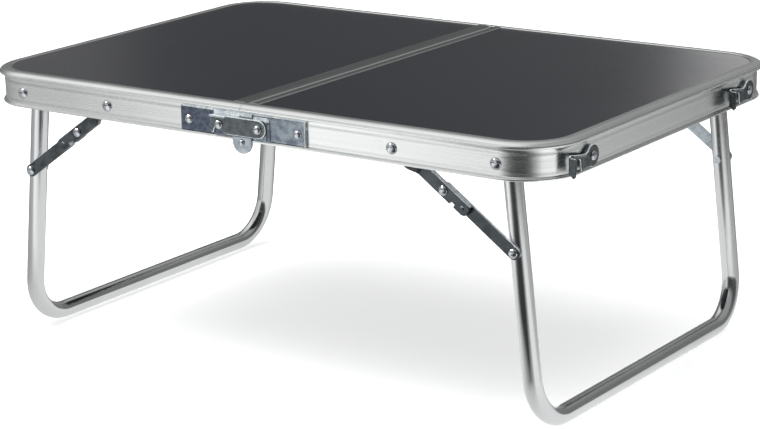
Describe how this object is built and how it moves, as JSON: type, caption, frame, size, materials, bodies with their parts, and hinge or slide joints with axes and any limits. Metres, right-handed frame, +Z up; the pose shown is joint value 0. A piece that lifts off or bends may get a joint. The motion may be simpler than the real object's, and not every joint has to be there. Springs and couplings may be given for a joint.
{
  "type": "folding camp table",
  "caption": "Low folding table: two dark framed half tops joined by a fold hinge, on two U-shaped tube legs with folding braces, hooks at the fold and end catches.",
  "frame": {"origin": "on the floor under the middle of the open table top", "axes": "+Z up, +X along the table towards the half with the end catches, +Y across it to the back"},
  "size_m": [0.6112, 0.418, 0.25],
  "materials": {
    "rim_aluminium": "satin anodised extrusion",
    "fold_strip": "dark satin, worn edges",
    "panel_board": "satin laminate",
    "zinc_plate": "bright zinc plated sheet",
    "leg_tube": "polished tube",
    "spacer": "moulded",
    "link_steel": "rolled strip, bright edges",
    "latch_steel": "zinc plated pressing",
    "rivet": "polished domed rivet"
  },
  "bodies": {
    "left_half": {"rim_rail_left": "rim_aluminium", "centre_rail_left": "fold_strip", "panel_left": "panel_board", "hinge_plate_left_front": "zinc_plate", "hinge_plate_left_back": "zinc_plate", "plate_rivets_left": "rivet", "hook_studs": "rivet", "keeper_studs": "rivet", "leg_pivots_left": "rivet", "leg_spacers_left": "spacer", "brace_pivots_left": "rivet"},
    "fold_pins": {"fold_rivets": "rivet"},
    "right_half": {"rim_rail_right": "rim_aluminium", "centre_rail_right": "fold_strip", "panel_right": "panel_board", "hinge_plate_right_front": "zinc_plate", "hinge_plate_right_back": "zinc_plate", "plate_rivets_right": "rivet", "hook_pivots": "rivet", "catch_pivots": "rivet", "leg_pivots_right": "rivet", "leg_spacers_right": "spacer", "brace_pivots_right": "rivet"},
    "left_leg": {"leg_left": "leg_tube", "leg_rivets_left": "rivet"},
    "right_leg": {"leg_right": "leg_tube", "leg_rivets_right": "rivet"},
    "left_front_upper_brace": {"upper_link_left_front": "link_steel", "mid_rivet_left_front": "rivet"},
    "left_front_lower_brace": {"lower_link_left_front": "link_steel", "mid_tail_left_front": "rivet"},
    "left_back_upper_brace": {"upper_link_left_back": "link_steel", "mid_rivet_left_back": "rivet"},
    "left_back_lower_brace": {"lower_link_left_back": "link_steel", "mid_tail_left_back": "rivet"},
    "right_front_upper_brace": {"upper_link_right_front": "link_steel", "mid_rivet_right_front": "rivet"},
    "right_front_lower_brace": {"lower_link_right_front": "link_steel", "mid_tail_right_front": "rivet"},
    "right_back_upper_brace": {"upper_link_right_back": "link_steel", "mid_rivet_right_back": "rivet"},
    "right_back_lower_brace": {"lower_link_right_back": "link_steel", "mid_tail_right_back": "rivet"},
    "front_hook": {"swing_hook_front": "latch_steel"},
    "back_hook": {"swing_hook_back": "latch_steel"},
    "near_catch": {"end_catch_near": "latch_steel"},
    "far_catch": {"end_catch_far": "latch_steel"}
  },
  "joints": [
    {"name": "fold_first", "type": "hinge", "parent": "left_half", "child": "fold_pins", "pos_m": [0, 0, 0.2175], "axis": [0, 1, 0], "range_deg": [0, 90]},
    {"name": "fold_second", "type": "hinge", "parent": "fold_pins", "child": "right_half", "pos_m": [0, 0, 0.2175], "axis": [0, 1, 0], "range_deg": [0, 90]},
    {"name": "left_leg_fold", "type": "hinge", "parent": "left_half", "child": "left_leg", "pos_m": [-0.2485, 0, 0.231], "axis": [0, -1, 0], "range_deg": [0, 96.1]},
    {"name": "left_front_upper_brace_fold", "type": "hinge", "parent": "left_half", "child": "left_front_upper_brace", "pos_m": [-0.15, -0.187, 0.231], "axis": [0, -1, 0], "range_deg": [0, 142]},
    {"name": "left_front_lower_brace_fold", "type": "hinge", "parent": "left_leg", "child": "left_front_lower_brace", "pos_m": [-0.25652, -0.187, 0.15593], "axis": [0, -1, 0], "range_deg": [-134.5, 0]},
    {"name": "left_back_upper_brace_fold", "type": "hinge", "parent": "left_half", "child": "left_back_upper_brace", "pos_m": [-0.15, 0.187, 0.231], "axis": [0, -1, 0], "range_deg": [0, 142]},
    {"name": "left_back_lower_brace_fold", "type": "hinge", "parent": "left_leg", "child": "left_back_lower_brace", "pos_m": [-0.25652, 0.187, 0.15593], "axis": [0, -1, 0], "range_deg": [-134.5, 0]},
    {"name": "right_leg_fold", "type": "hinge", "parent": "right_half", "child": "right_leg", "pos_m": [0.2485, 0, 0.231], "axis": [0, 1, 0], "range_deg": [0, 96.1]},
    {"name": "right_front_upper_brace_fold", "type": "hinge", "parent": "right_half", "child": "right_front_upper_brace", "pos_m": [0.15, -0.187, 0.231], "axis": [0, 1, 0], "range_deg": [0, 142]},
    {"name": "right_front_lower_brace_fold", "type": "hinge", "parent": "right_leg", "child": "right_front_lower_brace", "pos_m": [0.25652, -0.187, 0.15593], "axis": [0, 1, 0], "range_deg": [-134.5, 0]},
    {"name": "right_back_upper_brace_fold", "type": "hinge", "parent": "right_half", "child": "right_back_upper_brace", "pos_m": [0.15, 0.187, 0.231], "axis": [0, 1, 0], "range_deg": [0, 142]},
    {"name": "right_back_lower_brace_fold", "type": "hinge", "parent": "right_leg", "child": "right_back_lower_brace", "pos_m": [0.25652, 0.187, 0.15593], "axis": [0, 1, 0], "range_deg": [-134.5, 0]},
    {"name": "front_hook_swing", "type": "hinge", "parent": "right_half", "child": "front_hook", "pos_m": [0.0193, -0.206, 0.2315], "axis": [0, 1, 0], "range_deg": [0, 175]},
    {"name": "back_hook_swing", "type": "hinge", "parent": "right_half", "child": "back_hook", "pos_m": [0.0193, 0.206, 0.2315], "axis": [0, 1, 0], "range_deg": [0, 175]},
    {"name": "near_catch_swing", "type": "hinge", "parent": "right_half", "child": "near_catch", "pos_m": [0.2995, -0.1355, 0.2307], "axis": [1, 0, 0], "range_deg": [0, 90]},
    {"name": "far_catch_swing", "type": "hinge", "parent": "right_half", "child": "far_catch", "pos_m": [0.2995, 0.1405, 0.2307], "axis": [1, 0, 0], "range_deg": [0, 90]}
  ],
  "couplings": [
    {"joint": "left_front_upper_brace_fold", "follows": "left_leg_fold", "ratio": 1.4706},
    {"joint": "left_front_lower_brace_fold", "follows": "left_leg_fold", "ratio": -1.3915},
    {"joint": "left_back_upper_brace_fold", "follows": "left_leg_fold", "ratio": 1.4706},
    {"joint": "left_back_lower_brace_fold", "follows": "left_leg_fold", "ratio": -1.3915},
    {"joint": "right_front_upper_brace_fold", "follows": "right_leg_fold", "ratio": 1.4706},
    {"joint": "right_front_lower_brace_fold", "follows": "right_leg_fold", "ratio": -1.3915},
    {"joint": "right_back_upper_brace_fold", "follows": "right_leg_fold", "ratio": 1.4706},
    {"joint": "right_back_lower_brace_fold", "follows": "right_leg_fold", "ratio": -1.3915}
  ]
}
